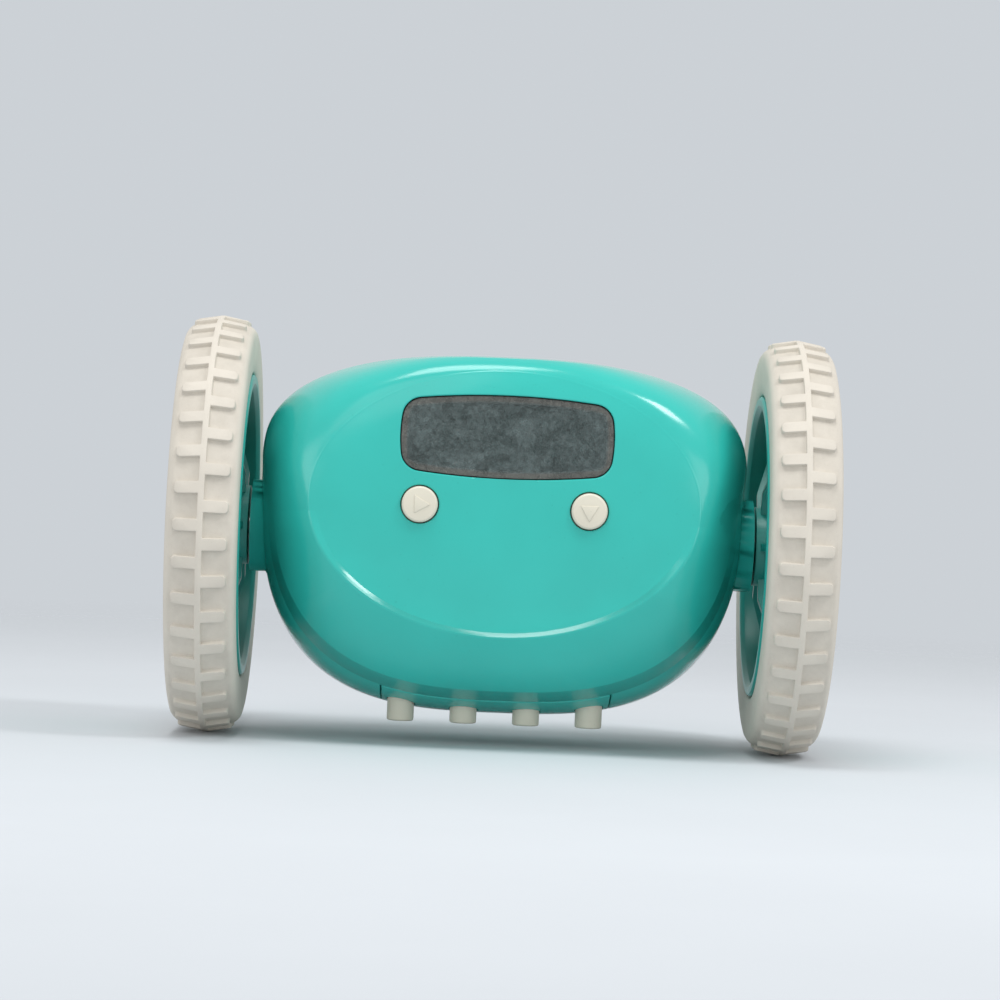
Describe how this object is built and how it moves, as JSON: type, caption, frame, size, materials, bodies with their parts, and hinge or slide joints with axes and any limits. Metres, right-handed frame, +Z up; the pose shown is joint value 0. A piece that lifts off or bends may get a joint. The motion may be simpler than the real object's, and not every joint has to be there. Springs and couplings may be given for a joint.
{
  "type": "two-wheeled runaway alarm clock",
  "caption": "Rounded digital alarm clock body hung between large lugged rubber wheels, each driven by its own geared motor inside.",
  "frame": {"origin": "on the floor under the middle of the wheel axle", "axes": "+X along the axle to the viewer's right when facing the display, -Y out of the display, +Z up"},
  "size_m": [0.1372, 0.0888, 0.0889],
  "materials": {
    "aqua_plastic": "satin",
    "aqua_wheel": "satin",
    "cream_rubber": "matte",
    "cream_plastic": "satin",
    "clear_window": "gloss",
    "black_plastic": "matte",
    "display_glass": "gloss",
    "diffuser": "matte",
    "circuit_board": "satin",
    "cell_jacket": "satin",
    "spring_steel": "satin",
    "speaker_metal": "satin",
    "motor_can": "satin",
    "gear_plastic": "satin",
    "gearbox_plastic": "matte",
    "bearing_brass": "satin",
    "steel": "satin"
  },
  "bodies": {
    "clock_body": {"front_shell": "aqua_plastic", "rear_shell": "aqua_plastic", "button_panel": "aqua_plastic", "display_window": "clear_window", "display_frame": "black_plastic", "lcd_panel": "display_glass", "backlight": "diffuser", "main_board": "circuit_board", "button_board": "circuit_board", "push_switches": "black_plastic", "battery_box": "black_plastic", "battery_springs": "spring_steel", "battery_plates": "spring_steel", "speaker": "speaker_metal", "case_screws": "steel", "battery_cell_1": "cell_jacket", "battery_cell_2": "cell_jacket", "battery_cell_3": "cell_jacket", "battery_cell_4": "cell_jacket", "left_bush": "bearing_brass", "left_gearbox_base": "gearbox_plastic", "left_gearbox_cover": "gearbox_plastic", "left_idler_pin": "steel", "left_motor": "motor_can", "right_bush": "bearing_brass", "right_gearbox_base": "gearbox_plastic", "right_gearbox_cover": "gearbox_plastic", "right_idler_pin": "steel", "right_motor": "motor_can"},
    "left_wheel": {"left_tyre": "cream_rubber", "left_rim": "aqua_wheel", "left_hub_cap": "aqua_wheel", "left_wheel_screw": "steel", "left_drive_shaft": "steel", "left_output_gear": "gear_plastic"},
    "left_idler": {"left_compound_gear": "gear_plastic"},
    "left_rotor": {"left_pinion": "bearing_brass", "left_motor_shaft": "steel"},
    "right_wheel": {"right_tyre": "cream_rubber", "right_rim": "aqua_wheel", "right_hub_cap": "aqua_wheel", "right_wheel_screw": "steel", "right_drive_shaft": "steel", "right_output_gear": "gear_plastic"},
    "right_idler": {"right_compound_gear": "gear_plastic"},
    "right_rotor": {"right_pinion": "bearing_brass", "right_motor_shaft": "steel"},
    "left_eye_button_group": {"left_eye_button": "cream_plastic"},
    "right_eye_button_group": {"right_eye_button": "cream_plastic"},
    "clock_button_group": {"clock_button": "cream_plastic"},
    "alarm_button_group": {"alarm_button": "cream_plastic"},
    "hour_button_group": {"hour_button": "cream_plastic"},
    "minute_button_group": {"minute_button": "cream_plastic"},
    "battery_hatch": {"battery_door": "aqua_plastic"}
  },
  "joints": [
    {"name": "left_wheel_spin", "type": "hinge", "parent": "clock_body", "child": "left_wheel", "pos_m": [0, 0, 0.04445], "axis": [1, 0, 0], "continuous": true},
    {"name": "left_idler_spin", "type": "hinge", "parent": "clock_body", "child": "left_idler", "pos_m": [0, -0.006, 0.03406], "axis": [1, 0, 0], "continuous": true},
    {"name": "left_rotor_spin", "type": "hinge", "parent": "clock_body", "child": "left_rotor", "pos_m": [0, -0.008, 0.04538], "axis": [1, 0, 0], "continuous": true},
    {"name": "right_wheel_spin", "type": "hinge", "parent": "clock_body", "child": "right_wheel", "pos_m": [0, 0, 0.04445], "axis": [1, 0, 0], "continuous": true},
    {"name": "right_idler_spin", "type": "hinge", "parent": "clock_body", "child": "right_idler", "pos_m": [0, -0.006, 0.03406], "axis": [1, 0, 0], "continuous": true},
    {"name": "right_rotor_spin", "type": "hinge", "parent": "clock_body", "child": "right_rotor", "pos_m": [0, -0.008, 0.04538], "axis": [1, 0, 0], "continuous": true},
    {"name": "left_eye_button_press", "type": "slide", "parent": "clock_body", "child": "left_eye_button_group", "axis": [0, 1, 0], "range_m": [0, 0.0008], "stiffness_N_per_m": 600, "springref_m": -0.0004},
    {"name": "right_eye_button_press", "type": "slide", "parent": "clock_body", "child": "right_eye_button_group", "axis": [0, 1, 0], "range_m": [0, 0.0008], "stiffness_N_per_m": 600, "springref_m": -0.0004},
    {"name": "clock_button_press", "type": "slide", "parent": "clock_body", "child": "clock_button_group", "axis": [0, 0, 1], "range_m": [0, 0.0008], "stiffness_N_per_m": 600, "springref_m": -0.0004},
    {"name": "alarm_button_press", "type": "slide", "parent": "clock_body", "child": "alarm_button_group", "axis": [0, 0, 1], "range_m": [0, 0.0008], "stiffness_N_per_m": 600, "springref_m": -0.0004},
    {"name": "hour_button_press", "type": "slide", "parent": "clock_body", "child": "hour_button_group", "axis": [0, 0, 1], "range_m": [0, 0.0008], "stiffness_N_per_m": 600, "springref_m": -0.0004},
    {"name": "minute_button_press", "type": "slide", "parent": "clock_body", "child": "minute_button_group", "axis": [0, 0, 1], "range_m": [0, 0.0008], "stiffness_N_per_m": 600, "springref_m": -0.0004},
    {"name": "battery_door_hinge", "type": "hinge", "parent": "clock_body", "child": "battery_hatch", "pos_m": [0, 0.00147, 0.00655], "axis": [-1, 0, 0], "range_deg": [0, 70]}
  ],
  "couplings": [
    {"joint": "left_idler_spin", "follows": "left_wheel_spin", "ratio": -3},
    {"joint": "left_rotor_spin", "follows": "left_wheel_spin", "ratio": 10.8},
    {"joint": "right_idler_spin", "follows": "right_wheel_spin", "ratio": -3},
    {"joint": "right_rotor_spin", "follows": "right_wheel_spin", "ratio": 10.8}
  ]
}
